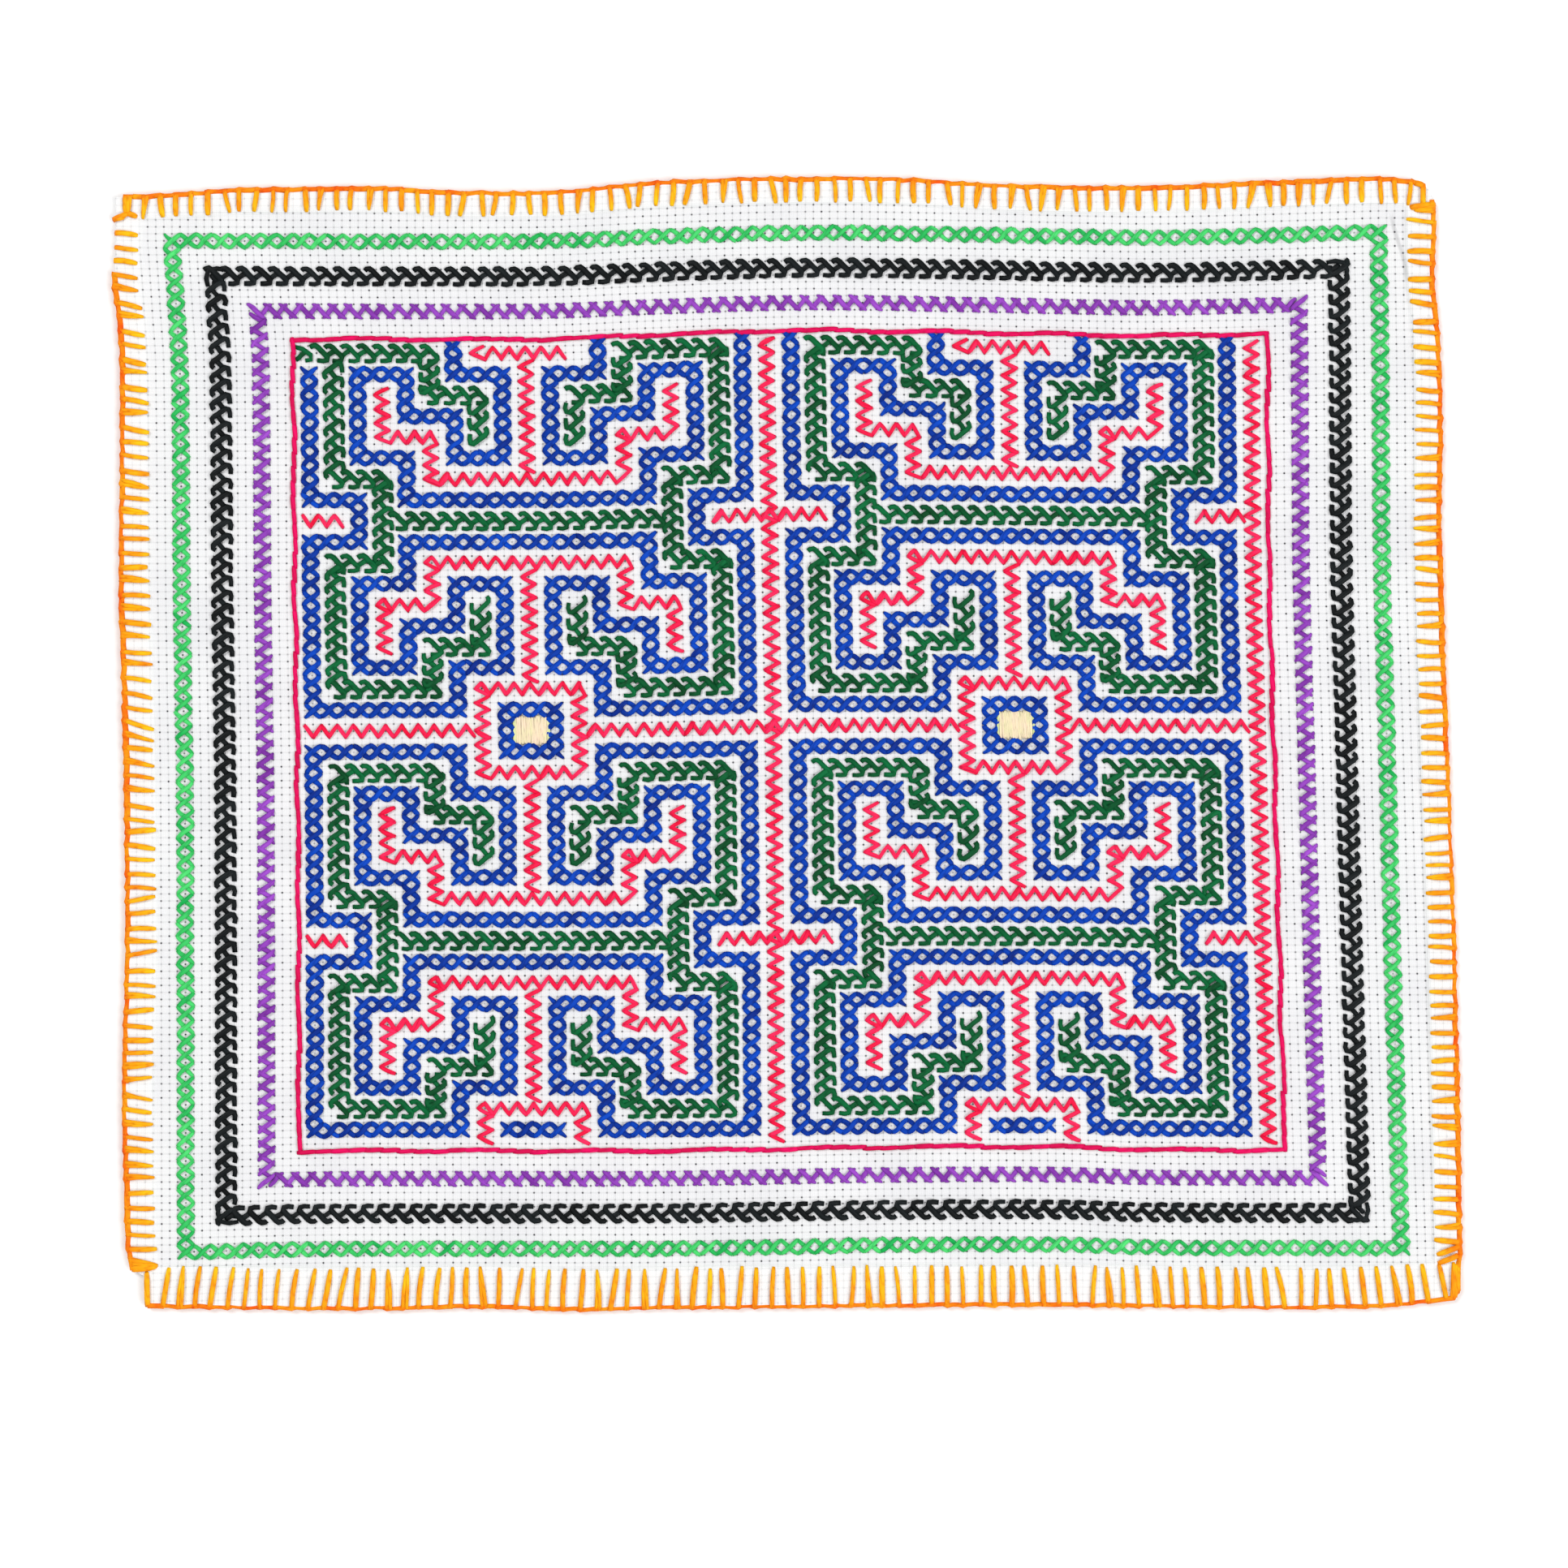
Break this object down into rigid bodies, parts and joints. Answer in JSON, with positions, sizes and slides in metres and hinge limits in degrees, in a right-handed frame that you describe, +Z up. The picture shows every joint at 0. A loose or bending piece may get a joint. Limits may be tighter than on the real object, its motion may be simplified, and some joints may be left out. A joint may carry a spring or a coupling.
{
  "type": "shipibo textile",
  "caption": "Flat rectangular cotton cloth, hand-embroidered with a maze of stepped bands inside coloured border rows, its hem edged in blanket stitch.",
  "frame": {"origin": "middle of the cloth's box, at its underside, where it lies on the surface", "axes": "+X to the cloth's right, +Y to its top, +Z up, out of its stitched face"},
  "size_m": [0.349, 0.2936, 0.0027],
  "materials": {
    "white_cotton": "even-weave cotton",
    "orange_thread": "stranded cotton",
    "magenta_thread": "stranded cotton",
    "purple_thread": "stranded cotton",
    "black_thread": "stranded cotton",
    "light_green_thread": "stranded cotton",
    "blue_thread": "stranded cotton",
    "dark_green_thread": "stranded cotton",
    "red_thread": "stranded cotton",
    "cream_thread": "stranded cotton satin stitch"
  },
  "bodies": {
    "root": {"cloth": "white_cotton", "edge_stitching": "orange_thread", "border_frame_line": "magenta_thread", "border_purple_cross": "purple_thread", "border_black_feather": "black_thread", "border_green_chain": "light_green_thread", "maze_blue_1": "blue_thread", "maze_blue_2": "blue_thread", "maze_blue_3": "blue_thread", "maze_blue_4": "blue_thread", "maze_blue_5": "blue_thread", "maze_blue_6": "blue_thread", "maze_blue_7": "blue_thread", "maze_blue_8": "blue_thread", "maze_blue_9": "blue_thread", "maze_blue_10": "blue_thread", "maze_green_1": "dark_green_thread", "maze_green_2": "dark_green_thread", "maze_green_3": "dark_green_thread", "maze_green_4": "dark_green_thread", "maze_red_1": "red_thread", "maze_red_2": "red_thread", "maze_red_3": "red_thread", "maze_red_4": "red_thread", "maze_red_5": "red_thread", "maze_red_6": "red_thread", "maze_red_7": "red_thread", "satin_patch_1": "cream_thread", "satin_patch_2": "cream_thread"}
  },
  "joints": []
}
